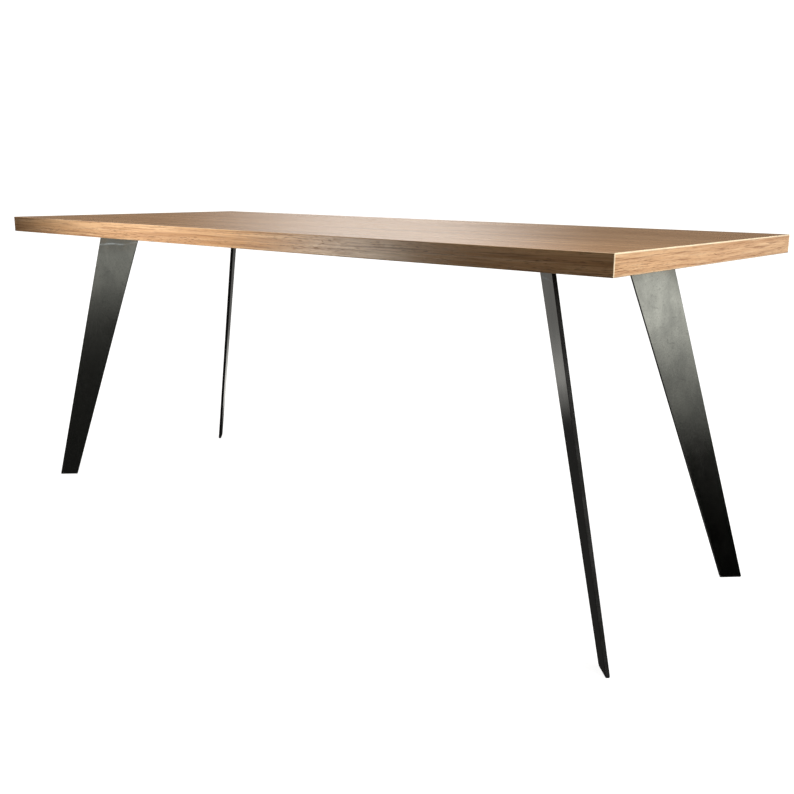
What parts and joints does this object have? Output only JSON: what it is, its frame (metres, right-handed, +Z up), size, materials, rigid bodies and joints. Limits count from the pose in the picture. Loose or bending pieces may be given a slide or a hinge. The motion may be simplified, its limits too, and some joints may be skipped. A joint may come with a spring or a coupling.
{
  "type": "table",
  "caption": "Long rectangular wood-decor table top with edge bands on flat tapered steel blade legs that splay outwards.",
  "frame": {"origin": "on the floor, under the middle of the top", "axes": "+X along the length to the right end, +Y to the back long side, +Z up"},
  "size_m": [1.8, 0.75, 0.74],
  "materials": {
    "decor_top": "satin wood decor, fine grain along the length",
    "decor_edge": "satin wood decor band, fine grain along the band, cream core at its trimmed ends and arrises",
    "backing": "matt balancing sheet",
    "core": "raw particle board",
    "leg_steel": "dark hot-rolled steel under satin clear lacquer",
    "plate_steel": "dark hot-rolled steel under satin clear lacquer",
    "weld": "rippled weld bead, lacquered",
    "pad_rubber": "matt",
    "screw_steel": "black oxide",
    "insert_zinc": "zinc plated"
  },
  "bodies": {
    "root": {"core_board": "core", "top_sheet": "decor_top", "bottom_sheet": "backing", "edge_band_front": "decor_edge", "edge_band_back": "decor_edge", "edge_band_left": "decor_edge", "edge_band_right": "decor_edge", "leg_blade_fl": "leg_steel", "mounting_plate_fl": "plate_steel", "weld_bead_fl": "weld", "foot_pad_fl": "pad_rubber", "plate_screws_fl": "screw_steel", "threaded_inserts_fl": "insert_zinc", "leg_blade_fr": "leg_steel", "mounting_plate_fr": "plate_steel", "weld_bead_fr": "weld", "foot_pad_fr": "pad_rubber", "plate_screws_fr": "screw_steel", "threaded_inserts_fr": "insert_zinc", "leg_blade_bl": "leg_steel", "mounting_plate_bl": "plate_steel", "weld_bead_bl": "weld", "foot_pad_bl": "pad_rubber", "plate_screws_bl": "screw_steel", "threaded_inserts_bl": "insert_zinc", "leg_blade_br": "leg_steel", "mounting_plate_br": "plate_steel", "weld_bead_br": "weld", "foot_pad_br": "pad_rubber", "plate_screws_br": "screw_steel", "threaded_inserts_br": "insert_zinc"}
  },
  "joints": []
}
